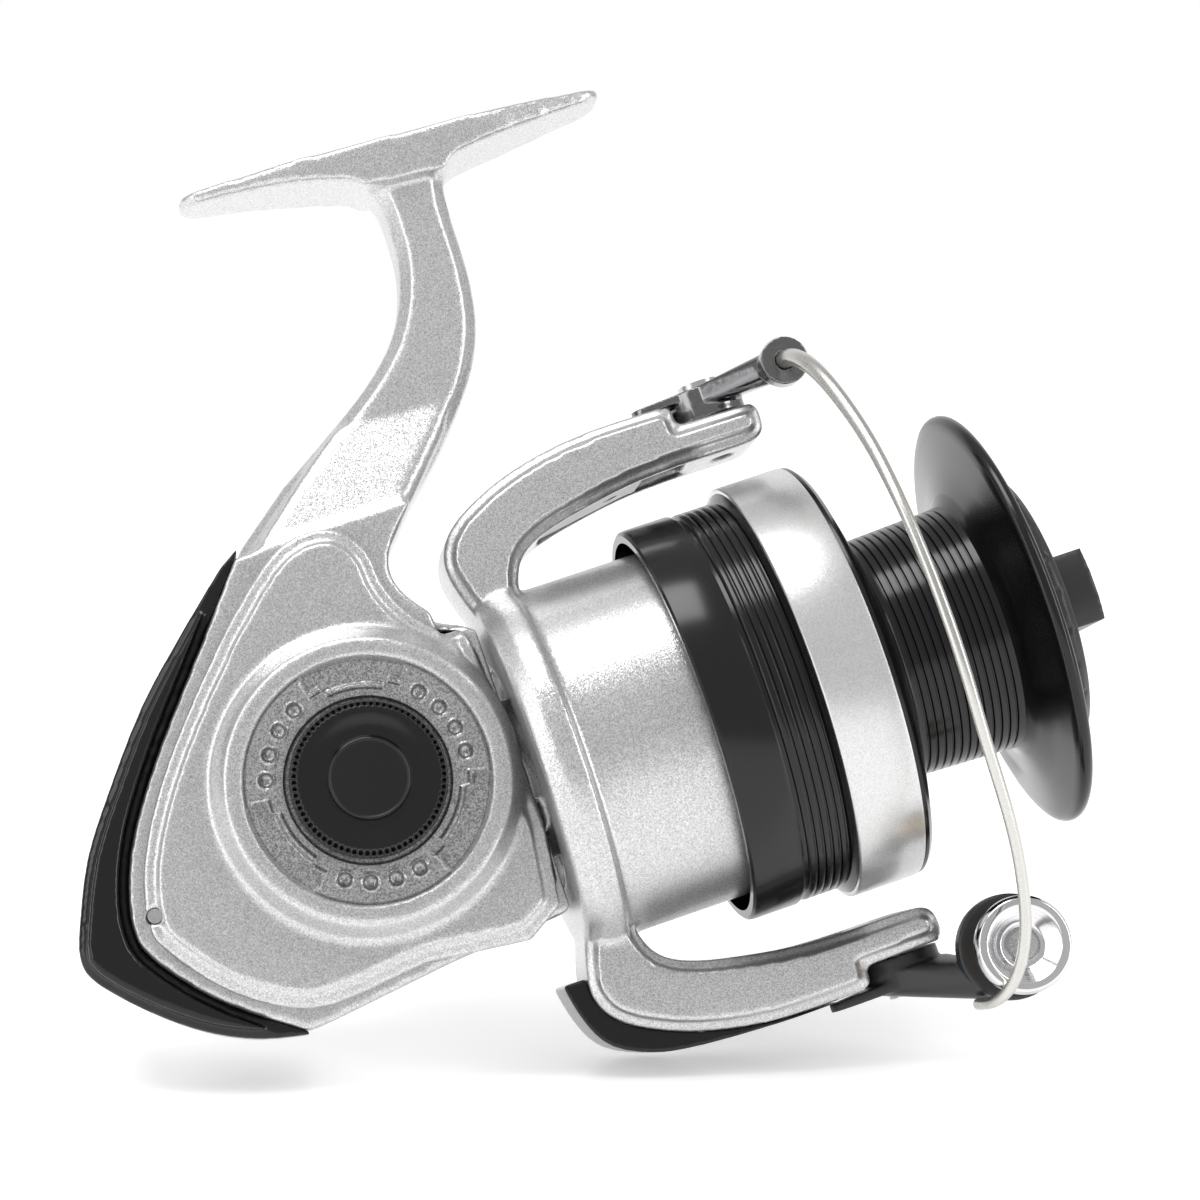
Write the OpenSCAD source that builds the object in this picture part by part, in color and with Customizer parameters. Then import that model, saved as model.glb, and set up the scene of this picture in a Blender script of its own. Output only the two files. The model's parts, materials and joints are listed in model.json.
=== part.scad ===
// Spinning reel, front drag, with the crank on the left and its screw cap on the right.
// +X is forward along the spool axis, +Y is the crank side and +Z is up towards the rod.
// The origin is the middle of the foot's seat, where the reel meets the rod.

/* [Spool] */
// Radius of the spool lip and of the bright band round the skirt
lip_r = 28.9; // [28.6:0.1:29.2]
// Radius of the arbor that the line is wound on
arbor_r = 16.6; // [16:0.1:17]
// Travel of the spool as the crank turns
stroke = 12; // [11:0.5:12]

/* [Rotor and bail] */
// Radius of the rotor's cup
cup_r = 24; // [23.6:0.1:24.2]
// Greatest distance of the rotor arms from the spool axis
arm_r = 41; // [40.8:0.1:41.2]
// Distance of the bail wire from the spool axis
wire_loop_r = 42.5; // [42.3:0.1:42.8]
// Diameter of the bail wire
wire_d = 2; // [1.8:0.1:2.1]

/* [Gears] */
// Teeth on the drive gear
gear_teeth = 49; // [49:1:49]
// Teeth on the pinion
pinion_teeth = 10; // [10:1:10]
// Height of the crank axis above the spool axis
drive_z = 5.5; // [5.5:0.1:5.5]

/* [Crank] */
// Length of the crank from its axis to the knob
crank_len = 70; // [66:1:72]
// Angle of the crank below straight forward
crank_angle = 15.5; // [0:0.5:90]
// Length of the T-shaped knob
knob_len = 40; // [34:1:42]

/* [Foot] */
// Length of the foot that the rod's hoods hold
foot_len = 59; // [58:1:60]
// Slope of the foot's seat against the spool axis, in degrees
foot_tilt = 2.6; // [2.6:0.1:2.6]

/* [Hidden] */
$fn = 48;

// Foot seat, in the spool-axis frame that the modules below use
seat = [31, 0, 87.2];

// Gearing
pinion_r = 3.2;
crank_y = 57.2;
tooth_h = 0.58;
gear_rim = [15.2, 18.2];
gear_face_y = 3.95;
osc_teeth = 30;
osc_drive_teeth = 12;
osc_module = 0.8;
osc_x = -15.9;
osc_y = [-7, -4.6];

// Spool stations along X, with the spool fully forward
skirt_back = 43;
skirt_step = 50.3;
band_back = 57.3;
band_front = 66.5;
arbor_back = 71.2;
arbor_front = 85.6;
lip_x = 89.2;
skirt_r = 27.1;
shaft_r = 2;

// Rotor stations along X
rotor_back = 20.9;
base_front = 26.4;
cup_front = 49;
base_r = 25.5;
arm_tip = 66;
arm_half = 9;
pivot_x = 60.5;
roller = [73.1, -14.1, -41.7];
eye = [69.8, -15, 40.7];

// Housing
side_y = 11;
cover_y = 14;
boss_y = 17.4;
ring_r = 15.9;
wall = 1.5;

// Points along a smooth curve through a closed list of points, n points to a span
function spline_point(a, b, c, d, t) =
    0.5 * (2 * b + (c - a) * t + (2 * a - 5 * b + 4 * c - d) * t * t
           + (3 * b - a - 3 * c + d) * t * t * t);
function closed_curve(p, n = 3) = let (m = len(p))
    [for (i = [0:m - 1]) for (k = [0:n - 1])
        spline_point(p[(i + m - 1) % m], p[i], p[(i + 1) % m], p[(i + 2) % m], k / n)];
function open_curve(p, n = 3) = let (m = len(p))
    [for (i = [0:m - 2]) for (k = [0:(i == m - 2 ? n : n - 1)])
        spline_point(p[max(i - 1, 0)], p[i], p[i + 1], p[min(i + 2, m - 1)], k / n)];
function flipped(p) = [for (q = p) [q[0], -q[1]]];

// Rear edge of the housing, from the stem down to the rear bottom corner
housing_rear = [[-5.5, 40.6], [-10, 35], [-17.5, 26], [-24.4, 17.6], [-30.2, 9.2], [-33.2, 2.4],
    [-34.2, -3], [-33.2, -6.8], [-28.8, -12.6], [-23.6, -17.4], [-16.8, -22.3]];
trim_rear = [[-9.1, 38.3], [-16.7, 31.6], [-24.4, 24.2], [-31.7, 15.2], [-36.9, 7.9], [-40.4, 0.3],
    [-41.7, -3.6], [-41.4, -6.4], [-38.9, -9.8], [-34, -14.6], [-28.7, -18.5], [-23, -21.2], [-16.8, -22.7]];
housing_bottom = [[-12.8, -21.9], [3.9, -19.8], [19.4, -18.6]];
housing_front = [[20, -18], [20, 20.2]];
stem_front = [[16.8, 22.6], [14.2, 25.4], [12.3, 28.4], [11.9, 31.5], [13.4, 34.8], [16.8, 38.3],
    [22, 43], [27, 48.3], [31.3, 53.8], [33.9, 59.4], [35, 64.7], [35.4, 69.7], [35.5, 75],
    [36, 79.4], [37.4, 81.6], [39.6, 82.8]];
stem_rear = [[23.1, 83.6], [25.5, 81.9], [26.9, 79.3], [27, 75], [26.6, 70.3], [25, 65.4],
    [22.6, 61.4], [19.8, 58.4], [15.7, 55.1], [9.7, 51.2], [2.4, 46.7]];
cavity = [[18.6, -16.4], [18.6, 17], [14.6, 21.6], [9, 25.2], [0, 26.6], [-9, 25.4], [-20, 17.2],
    [-28.3, 7], [-31.3, -2], [-29, -8.4], [-22, -15.2], [-14, -18.6], [0, -17.4]];
cover_outline = [[18.6, -17.4], [18.6, 19], [15.2, 21.4], [12, 25.2], [10.2, 29.5], [9.5, 34.5], [6, 38.5],
    [-1, 38.2], [-9, 32], [-18, 22.6], [-25.4, 13.4], [-30.4, 4.6], [-32.2, -3],
    [-31, -6.6], [-26.2, -13], [-20, -17.8], [-13, -20], [0, -18.8]];

module place() { translate(-seat) children(); }
module span_y(a, b) { translate([0, b, 0]) rotate([90, 0, 0]) linear_extrude(height = b - a) children(); }
module turned(points) { rotate([0, 90, 0]) rotate_extrude($fn = 96) polygon(points); }
module tube_x(r_in, r_out, a, b) { turned([[r_in, a], [r_out, a], [r_out, b], [r_in, b]]); }
module rod_x(r, a, b) { translate([a, 0, 0]) rotate([0, 90, 0]) cylinder(r = r, h = b - a); }
module rod_y(r, a, b) { translate([0, a, 0]) rotate([-90, 0, 0]) cylinder(r = r, h = b - a); }
module turned_y(points) { rotate([-90, 0, 0]) rotate_extrude($fn = 96) polygon(points); }
module tube_y(r_in, r_out, a, b) { turned_y([[r_in, a], [r_out, a], [r_out, b], [r_in, b]]); }
module at_drive() { translate([0, 0, drive_z]) children(); }

// ---------------------------------------------------------------- housing

// Side profile of the stem and the foot, as one piece with the housing
module frame_profile() {
    polygon(concat(open_curve(housing_rear), housing_bottom, housing_front, open_curve(stem_front),
        [[39.7, 84], [23, 84.6]], open_curve(stem_rear)));
}

// The stem's part of the profile, above the housing
module stem_profile() {
    intersection() {
        frame_profile();
        polygon([[-20, 34], [30, 26], [50, 50], [50, 90], [10, 90], [-20, 60]]);
    }
}

// The two blades of the foot, thickest at the stem and thin at the tips
module foot() {
    half = foot_len / 2;
    translate(seat) rotate([0, foot_tilt, 0]) intersection() {
        span_y(-9, 9) polygon(concat([[-half, 0], [-half, -1.4]],
            open_curve([[-half + 1, -1.6], [-18, -2.4], [-8.2, -4.2], [-5, -6]], 4),
            open_curve([[6, -6.4], [8, -4.6], [18, -3], [half - 1, -1.6]], 4),
            [[half, -1.4], [half, 0]]));
        translate([0, 0, -8]) linear_extrude(height = 8) offset(r = 3, $fn = 24) offset(delta = -3)
            polygon([[-half, -4.6], [-14, -8], [14, -8], [half, -4.6], [half, 4.6], [14, 8], [-14, 8], [-half, 4.6]]);
    }
}

module main_frame() {
    color("silver") difference() {
        union() {
            intersection() {
                span_y(-side_y, side_y) frame_profile();
                translate([-60, -20, -40]) cube([100, 40, 79]);
            }
            hull() {
                span_y(-side_y + 0.5, side_y - 0.5) polygon([[-4, 39], [16, 39], [12, 33], [-10, 33]]);
                span_y(-6.4, 6.4) polygon([[12, 52], [27, 51], [25, 47], [6, 48]]);
            }
            span_y(-4.8, 4.8) stem_profile();
            span_y(-6.4, 6.4) offset(r = 0.9, $fn = 24) offset(delta = -2.1) stem_profile();
            foot();
            at_drive() rod_y(11, side_y - 1, 15.6);
            at_drive() rod_y(19.6, side_y - 1, 13);
            rod_x(10.9, 19, 32);
        }
        // Gearbox, open on the right, with a post for each cover screw
        difference() {
            span_y(-side_y - 1, side_y - wall) polygon(closed_curve(cavity));
            for (p = screw_places) translate([p[0], 0, p[1]]) rod_y(2.2, -side_y, side_y);
        }
        // Seat of the left crank bearing, and the way out for the crank's shank
        at_drive() rod_y(7, 9, 13.6);
        at_drive() rod_y(5.4, 13, 16);
        // Seats of the pinion bearing and of the roller clutch in the nose
        rod_x(7.5, 19.8, 24.3);
        rod_x(9.2, 24.2, 33);
        rod_x(4.6, 18, 20);
        // Bores of the guide rod
        translate([0, 0, -8.5]) rod_x(1.2, -30.8, 19.5);
        // Holes of the cover screws, whose heads are on the crank side
        for (p = screw_places) translate([p[0], 0, p[1]]) {
            rod_y(1.1, -side_y - 1, side_y + 1);
            rod_y(2.2, side_y - 1.8, side_y + 1);
        }
        arm_sweep();
    }
}
screw_places = [[-31, -2], [3, 29.2], [16.2, -15.6]];

// Room that the rotor's arms sweep in front of the housing
module arm_sweep() { turned([[23.7, 15.2], [34, 15.2], [34, 30], [23.7, 30]]); }

module side_cover() {
    color("silver") difference() {
        union() {
            span_y(-cover_y + 1, -side_y) polygon(closed_curve(cover_outline));
            span_y(-cover_y, -cover_y + 1) offset(delta = -2) polygon(closed_curve(cover_outline));
            at_drive() turned_y([[0, -boss_y], [ring_r + 2.4, -boss_y], [ring_r + 4.4, -cover_y], [ring_r + 4.4, -side_y], [0, -side_y]]);
        }
        difference() {
            span_y(-side_y - wall, -side_y + 1) polygon(closed_curve([for (p = cavity) [p[0] * 0.97, p[1] * 0.96]]));
            for (p = screw_places) translate([p[0], 0, p[1]]) rod_y(2.2, -cover_y, -side_y);
        }
        at_drive() rod_y(ring_r, -boss_y - 1, -boss_y + 1.2);
        at_drive() rod_y(7, -boss_y + 0.8, -side_y);
        translate([osc_x, 0, 0]) rod_y(2, -13.4, -side_y);
        for (p = screw_places) translate([p[0], 0, p[1]]) rod_y(1, -side_y - 2, -side_y + 1);
        arm_sweep();
    }
}

// Black trim that wraps the rear edge of the housing
module rear_cover() {
    color("#202022") difference() {
        union() {
            span_y(-10, 10) trim_profile(0);
            span_y(-12, 12) trim_profile(1.2);
        }
        span_y(-side_y - 0.02, side_y + 0.02) frame_profile();
    }
}
module trim_profile(inset) {
    inner = [for (i = [len(housing_rear) - 1:-1:0]) housing_rear[i]];
    offset(delta = -inset) polygon(concat(open_curve(trim_rear), open_curve(inner)));
}

// Round plate under the screw cap, with three cut-outs and twelve dimples
module ring_plate() {
    face = -boss_y;
    color("#b8b8bc") at_drive() difference() {
        tube_y(7.1, ring_r - 0.1, face, face + 1.2);
        for (a = [80, 200, 320]) rotate([0, -a, 0]) span_y(face - 1, face + 0.7)
            polygon(concat([for (t = [-27:6:27]) 14.9 * [cos(t), sin(t)]], [for (t = [21:-6:-21]) 12.4 * [cos(t), sin(t)]]));
        for (a = [140, 260, 20]) for (i = [-1.5:1:1.5]) rotate([0, -(a + i * 14.5), 0])
            translate([13.1, 0, 0]) rod_y(0.7, face - 1, face + 0.35);
        tube_y(6, 10.6, face - 1, face + 0.4);
    }
}

module cover_screws() {
    color("#909094") for (p = screw_places) translate([p[0], 0, p[1]]) difference() {
        union() {
            rod_y(2.1, side_y - 1.75, side_y - 0.2);
            rod_y(0.95, -side_y - 1.9, side_y - 1.7);
        }
        for (a = [0, 90]) rotate([0, a, 0]) translate([-1.4, side_y - 1, -0.25]) cube([2.8, 1, 0.5]);
    }
}

// Ball bearing along Y, balls included
module bearing_y(r_in, r_out, a, b) {
    mid = (r_in + r_out) / 2;
    ball = (r_out - r_in) * 0.27;
    color("#c8c8cc") {
        difference() {
            tube_y(mid + ball * 0.55, r_out, a, b);
            translate([0, (a + b) / 2, 0]) rotate([-90, 0, 0]) rotate_extrude() translate([mid, 0]) circle(r = ball + 0.03);
        }
        difference() {
            tube_y(r_in, mid - ball * 0.55, a, b);
            translate([0, (a + b) / 2, 0]) rotate([-90, 0, 0]) rotate_extrude() translate([mid, 0]) circle(r = ball + 0.03);
        }
        for (i = [0:7]) rotate([0, i * 45, 0]) translate([mid, (a + b) / 2, 0]) sphere(r = ball, $fn = 24);
    }
}
module drive_bearing_right() { at_drive() bearing_y(3.05, 7, -boss_y + 1.3, -boss_y + 5); }
module drive_bearing_left() { at_drive() bearing_y(4.3, 7, 9.6, 13.5); }
module pinion_bearing() { rotate([0, 0, -90]) bearing_y(3.42, 7.5, 19.85, 24.2); }

// One-way clutch: a shell with rollers in wedge pockets round the pinion
module roller_clutch() {
    color("#b0a890") {
        difference() {
            tube_x(4.75, 9.15, 24.4, 31);
            for (i = [0:5]) rotate([i * 60, 0, 0]) translate([24, 0, 5.15]) rotate([0, 90, 0]) cylinder(r = 1.15, h = 8);
        }
        for (i = [0:5]) rotate([i * 60, 0, 0]) translate([25, 0, 5.15]) rotate([0, 90, 0]) cylinder(r = 1.05, h = 5.4);
    }
}
module clutch_retainer() { color("#c0c0c4") tube_x(4.6, 9.15, 31.1, 31.9); }
module guide_rod() { color("#d0d0d4") translate([0, 0, -8.5]) rod_x(1.18, -30.6, 19); }
module oscillation_post() {
    color("#c8c8cc") translate([osc_x, 0, 0]) {
        rod_y(1.98, -13.3, -7.2);
        rod_y(1.4, -7.3, -4.3);
    }
}

// ---------------------------------------------------------------- gear train

// Straight-sided teeth round a circle: base and top are a tooth's half widths in millimetres
module toothed(teeth, root_r, tip_r, base, top) {
    polygon([for (i = [0:teeth - 1]) for (q = [[root_r, -base], [tip_r, -top], [tip_r, top], [root_r, base]])
        let (a = 360 * i / teeth + q[1] / q[0] * 180 / PI) q[0] * [cos(a), sin(a)]]);
}

// Face gear: each tooth lies along the spool axis when it meets the pinion, below the crank axis
module drive_gear() {
    color("#c9b26a") at_drive() {
        difference() {
            union() {
                tube_y(0, gear_rim[1], gear_face_y, 6.4);
                rod_y(5.6, 2.6, 9.2);
                rod_y(3, -boss_y + 1.3, 3);
                rod_y(4.25, 6, 13.5);
            }
            rod_y(1.6, -boss_y, 14);
            tube_y(8, 13.6, 5.4, 7);
        }
        intersection() {
            tube_y(gear_rim[0], gear_rim[1], gear_face_y - 2 * tooth_h - 0.14, gear_face_y + 0.2);
            for (i = [0:gear_teeth - 1]) rotate([0, i * 360 / gear_teeth, 0])
                translate([12, 0, -drive_z]) rotate([0, 90, 0]) linear_extrude(height = 8)
                    polygon([[0.42, gear_face_y + 0.2], [0.24, gear_face_y - 2 * tooth_h - 0.14],
                        [-0.24, gear_face_y - 2 * tooth_h - 0.14], [-0.42, gear_face_y + 0.2]]);
        }
    }
}

module oscillation_pinion() {
    line = atan2(-drive_z, osc_x);
    color("#e8e4d8") at_drive() difference() {
        span_y(osc_y[0] - 0.2, osc_y[1]) rotate(line) toothed(osc_drive_teeth,
            osc_module * (osc_drive_teeth / 2 - 1.15), osc_module * (osc_drive_teeth / 2 + 0.75), 0.62, 0.26);
        rod_y(3.02, osc_y[0] - 1, osc_y[1] + 1);
    }
}

module oscillation_gear() {
    line = atan2(-drive_z, osc_x) - 180;
    color("#e8e4d8") translate([osc_x, 0, 0]) difference() {
        union() {
            span_y(osc_y[0], osc_y[1]) rotate(line + 180 / osc_teeth) toothed(osc_teeth,
                osc_module * (osc_teeth / 2 - 1.15), osc_module * (osc_teeth / 2 + 0.75), 0.66, 0.26);
            translate([stroke / 2, 0, 0]) rod_y(1.4, osc_y[1] - 0.1, -3.5);
        }
        rod_y(1.45, osc_y[0] - 1, osc_y[1] + 1);
        for (a = [60, 180, 300]) rotate([0, a, 0]) translate([7.2, 0, 0]) rod_y(1.8, osc_y[0] - 1, osc_y[1] + 1);
    }
}

module pinion() {
    color("#d8c070") difference() {
        union() {
            translate([12.6, 0, 0]) rotate([0, 90, 0]) linear_extrude(height = 7) rotate(90 + 180 / pinion_teeth)
                toothed(pinion_teeth, pinion_r - 0.62, pinion_r + tooth_h, 0.5, 0.2);
            rod_x(3.38, 19.5, 38.5);
            rod_x(2.95, 38.4, 43);
        }
        rod_x(shaft_r + 0.04, 12, 44);
    }
}

// ---------------------------------------------------------------- crank

module handle_shank() {
    color("#2a2a2c") at_drive() difference() {
        union() {
            rod_y(4.2, 13.6, 17);
            rod_y(5.2, 16.2, 24);
            turned_y([[0, 16.4], [8, 16.4], [8.4, 17], [7.4, 20], [0, 20]]);
            rotate([0, crank_angle, 0]) translate([-5.2, 22.5, -4.4]) cube([10.4, 8, 8.8]);
        }
        rod_y(1.55, 13, 22);
    }
}

// Curved arm, leaning out so that it passes outside the rotor
module handle_arm() {
    path = [[5.3, 27.4], [13, 35.4], [24, 45.2], [34, 50.8], [46, 54.6], [58, 56.6], [crank_len, crank_y]];
    n = len(path);
    color("#2a2a2c") at_drive() rotate([0, crank_angle, 0]) difference() {
        union() {
            translate([0, 0, -4.6]) linear_extrude(height = 9.2)
                polygon(concat(open_curve([for (p = path) p + [0, -2.6]]), open_curve([for (i = [n - 1:-1:0]) path[i] + [0, 2.6]])));
            translate([crank_len, 0, 0]) rod_y(5.6, crank_y - 2.6, crank_y + 2.6);
        }
        translate([crank_len, 0, 0]) rod_y(2.2, crank_y - 6, crank_y + 4);
    }
}

module knob_post() {
    color("#c8c8cc") at_drive() rotate([0, crank_angle, 0]) translate([crank_len, 0, 0]) {
        rod_y(2.2, crank_y - 2.8, crank_y + 17.8);
        rod_y(3.2, crank_y + 2.7, crank_y + 3.5);
        rod_y(3.1, crank_y + 17.8, crank_y + 18.8);
    }
}

module handle_knob() {
    color("#232325") at_drive() rotate([0, crank_angle, 0]) translate([crank_len, crank_y, 0]) difference() {
        union() {
            turned_y([[0, 3.8], [5.4, 3.8], [6, 4.8], [5, 8.8], [5.6, 13.8], [0, 13.8]]);
            hull() for (s = [-1, 1]) {
                translate([s * (knob_len / 2 - 6.6), 14.2, 0]) scale([1, 0.88, 1.06]) sphere(r = 6.6, $fn = 32);
                translate([s * 5, 12.2, 0]) sphere(r = 6.2, $fn = 32);
            }
        }
        rod_y(2.26, 3, 18);
        rod_y(3.7, 17.7, 24);
    }
}
module knob_cap() {
    color("#3a3a3c") at_drive() rotate([0, crank_angle, 0]) translate([crank_len, crank_y, 0])
        turned_y([[0, 19.1], [3.65, 19.1], [3.65, 19.8], [3, 20.4], [0, 20.6]]);
}

// Black knurled cap whose screw runs through the drive gear into the crank
module handle_screw() {
    face = -boss_y;
    color("#151516") at_drive() difference() {
        union() {
            span_y(face - 3.8, face - 0.35) toothed(72, 9.7, 10.2, 0.3, 0.12);
            turned_y([[0, face - 3.9], [5.1, face - 3.9], [5.5, face - 3.5], [6.2, face - 3.3],
                [8.2, face - 3.8], [9, face - 4.1], [9.6, face - 3.9], [9.8, face - 3.6], [9.8, face - 0.35], [0, face - 0.35]]);
            rod_y(5, face - 0.4, face + 1);
            rod_y(1.5, face, 21.5);
        }
    }
}

// ---------------------------------------------------------------- shaft, spool and drag

module main_shaft() {
    color("#d8d8dc") difference() {
        rod_x(shaft_r, -13.4, 97.5);
        // Flats that key the drag's metal washers
        for (s = [-1, 1]) translate([79, s * 2 - 0.5 + s * 0.3, -3]) cube([10, 1, 6]);
    }
}

// Block on the shaft's rear end, with the upright slot that the oscillation gear's pin works in
module oscillation_slider() {
    x = osc_x + stroke / 2;
    color("#d8d4c8") difference() {
        translate([x - 4, -3.2, -10.4]) cube([8, 5.5, 19]);
        translate([x - 1.6, -3.3, -7.6]) cube([3.2, 1.4, 15.2]);
        rod_x(shaft_r, x - 5, x + 5);
        translate([0, 0, -8.5]) rod_x(1.24, x - 5, x + 5);
        translate([x, 0, 0]) rod_y(1.1, 0, 3);
    }
}
module slider_screw() {
    color("#909094") translate([osc_x + stroke / 2, 0, 0]) {
        rod_y(1.05, 2.05, 2.3);
        rod_y(1.7, 2.31, 2.5);
    }
}
module click_wheel() {
    color("#e0dccc") difference() {
        translate([67.6, 0, 0]) rotate([0, 90, 0]) linear_extrude(height = 1.4) toothed(24, 8.6, 9.6, 0.8, 0.3);
        rod_x(shaft_r, 66, 70);
    }
}
module shaft_clip() { color("#c0c0c4") tube_x(shaft_r, 4.4, 69.1, 69.8); }

// Skirt, arbor and lip in one moulding, with a pot for the drag in the front
module spool_body() {
    groove = 0.35;
    grooves = [for (i = [0:4]) for (q = [[0, 0], [groove, 0.25], [0, 0.5]]) [skirt_r + 0.1 - q[0], skirt_step + 1 + i * 1.05 + q[1]]];
    rings = [for (i = [0:12]) for (q = [[0, 0], [0.22, 0.1], [0, 0.2]]) [arbor_r - q[0] + i * 0.045, arbor_back + 1 + i * 1.05 + q[1]]];
    color("#1b1b1d") difference() {
        turned(concat(
            [[25.9, skirt_back], [skirt_r - 0.3, skirt_back], [skirt_r + 0.25, skirt_back + 0.6], [skirt_r + 0.3, skirt_step - 0.5],
             [skirt_r, skirt_step], [skirt_r + 0.1, skirt_step + 0.6]],
            grooves,
            [[skirt_r + 0.4, band_back - 0.7], [skirt_r + 1.1, band_back - 0.05], [skirt_r + 1.1, band_front], [lip_r - 0.1, band_front],
             [lip_r - 0.1, band_front + 0.6], [lip_r - 0.7, band_front + 1.1], [20, arbor_back - 1], [arbor_r + 0.5, arbor_back - 0.4], [arbor_r, arbor_back]],
            rings,
            [[arbor_r + 0.6, arbor_front], [arbor_r + 1.8, arbor_front + 1], [22, lip_x - 2], [lip_r - 1.2, lip_x - 1.2],
             [lip_r - 0.3, lip_x - 0.8], [lip_r, lip_x - 0.2], [lip_r, lip_x + 0.4], [lip_r - 0.6, lip_x + 1.2],
             [20.4, lip_x + 1.6], [20, lip_x + 1.2], [19.6, 87], [13, 86.4], [12.4, 85.8], [12.4, 78.6], [shaft_r + 0.05, 78.6], [shaft_r + 0.05, 70.4],
             [6.5, 70.4], [6.5, 76.4], [14.4, 76.4], [14.4, 68.6], [17.5, 68.6], [25.2, 66.2], [25.6, 60]]));
        for (i = [0:5]) rotate([i * 60, 0, 0]) translate([75, 0, 10.5]) rotate([0, 90, 0]) cylinder(r = 1.6, h = 3);
    }
}
module spool_band() {
    color("silver") turned([[skirt_r + 1.12, band_back], [lip_r - 0.35, band_back], [lip_r, band_back + 0.3],
        [lip_r, band_front - 0.1], [skirt_r + 1.12, band_front - 0.1]]);
}
module line_clip() {
    color("#2c2c2e") rotate([-125, 0, 0]) translate([45.2, -2.1, skirt_r + 0.32]) difference() {
        cube([4, 4.2, 1.1]);
        translate([-1, -3, 0.4]) cube([3.6, 4, 0.3]);
    }
}
module drag_washers_felt() { color("#c8b890") for (x = [78.7, 80.9, 83.1]) tube_x(2.4, 12.2, x, x + 1.2); }
module drag_washers_metal() {
    color("#c8c8cc") for (x = [79.95, 82.15, 84.35]) difference() {
        rod_x(12, x, x + 0.9);
        intersection() {
            rod_x(shaft_r + 0.05, x - 1, x + 2);
            translate([x - 1, -1.85, -3]) cube([3, 3.7, 6]);
        }
    }
}
module drag_retaining_ring() { color("#b0b0b4") difference() { tube_x(10.4, 12.35, 85.3, 85.75); translate([84, -1.5, 8]) cube([3, 3, 6]); } }
module click_pawl() {
    color("#c8c8cc") translate([67.8, 0, 0]) rotate([0, 90, 0]) linear_extrude(height = 0.8)
        polygon([[9.9, -0.7], [14, -1.6], [17, -1.6], [17, 1.6], [14, 1.6], [9.9, 0.7]]);
}

// Round knob with a raised grip bar across its face
module drag_knob() {
    color("#1e1e20") difference() {
        union() {
            turned([[0, lip_x - 1], [19, lip_x - 1], [19.3, lip_x + 1.8], [19.2, lip_x + 4.2], [18.4, lip_x + 5.2], [12, lip_x + 6], [0, lip_x + 6.2]]);
            intersection() {
                translate([93, -12.5, -5]) cube([8, 25, 10]);
                rod_x(12.5, 90, 100);
            }
        }
        rod_x(2.1, 87, 98);
        rod_x(4.6, 87, 91);
        for (i = [0:23]) rotate([i * 15, 0, 0]) translate([lip_x + 3, 0, 19.8]) rotate([0, 90, 0]) cylinder(r = 0.9, h = 3);
    }
}
module drag_nut() { color("#d0b868") difference() { rod_x(4.5, 88.6, 90.9); rod_x(shaft_r + 0.02, 88, 92); } }

// Coil spring along X that presses on the drag washers
module drag_spring() {
    turns = 2;
    steps = 16;
    wire = 0.35;
    mean = 3.3;
    length = 2.6;
    n = turns * steps;
    rings = [for (i = [0:n]) let (a = 360 * i / steps) for (k = [0:5]) let (b = 60 * k)
        [85.8 + wire + (length - 2 * wire) * i / n + wire * sin(b), (mean + wire * cos(b)) * cos(a), (mean + wire * cos(b)) * sin(a)]];
    color("#b8b8bc") polyhedron(points = rings, faces = concat(
        [[for (k = [0:5]) k]], [[for (k = [5:-1:0]) n * 6 + k]],
        [for (i = [0:n - 1]) for (k = [0:5]) each [
            [i * 6 + k, (i + 1) * 6 + k, i * 6 + (k + 1) % 6],
            [(i + 1) * 6 + k, (i + 1) * 6 + (k + 1) % 6, i * 6 + (k + 1) % 6]]]));
}

// ---------------------------------------------------------------- rotor

arm_outer = [[20.9, 22], [19.4, 27], [19.2, 30], [20.2, 32.6], [22.2, 34.7], [25, 36.4], [28.8, 38.1],
    [33, 39.4], [38, 40.4], [43, arm_r - 0.1], [48, arm_r], [53, arm_r - 0.1]];
arm_step = [[54.8, arm_r - 0.6], [54.8, 38], [65.2, 37.9]];
arm_inner = [[66, 36.8], [65.8, 34.4], [64.4, 33], [59.9, 32.8], [53.3, 32.8], [46.5, 32.4],
    [39.5, 31.3], [34.2, 30.1], [30.6, 28.6], [28.6, 26.6], [27.5, 23.6]];

module arm_profile() { polygon(concat(open_curve(arm_outer), arm_step, open_curve(arm_inner), [[27.5, 22]])); }

module rotor() {
    color("silver") difference() {
        union() {
            turned([[15, rotor_back], [base_r - 1.5, rotor_back], [base_r, rotor_back + 2.6], [base_r, base_front], [cup_r, base_front],
                [cup_r, cup_front - 0.6], [cup_r - 0.6, cup_front], [cup_r - 1.8, cup_front], [cup_r - 1.8, 37.2], [3.42, 37.2], [3.42, 33.4],
                [12, 33.4], [12, 23.5], [15, 23]]);
            for (s = [0, 180]) rotate([s, 0, 0]) difference() {
                union() {
                    span_y(-arm_half + 1.5, arm_half - 1.5) arm_profile();
                    span_y(-arm_half, arm_half) offset(r = 0.8, $fn = 24) offset(delta = -2.2) arm_profile();
                }
                // Pivot hole of the bail, and the pocket behind the inner cover
                translate([pivot_x, 0, 30]) cylinder(r = 1.5, h = 12);
                translate([33, -5, 26]) cube([22, 10, 10]);
            }
        }
        rod_x(12, 20, 33.4);
        rod_x(3.42, 30, 40);
    }
}

module rotor_nut() {
    color("#c8a850") difference() {
        translate([37.3, 0, 0]) rotate([0, 90, 0]) cylinder(r = 6.4, h = 3.6, $fn = 6);
        rod_x(2.98, 37, 42);
        rod_x(3.42, 36, 38.6);
    }
}
module nut_lock() {
    color("#c0c0c4") difference() {
        translate([41, 0, 0]) rotate([0, 90, 0]) linear_extrude(height = 0.8) hull() {
            circle(r = 6.6);
            translate([-9.4, 0]) circle(r = 2);
        }
        rod_x(3, 40, 43);
    }
}

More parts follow.
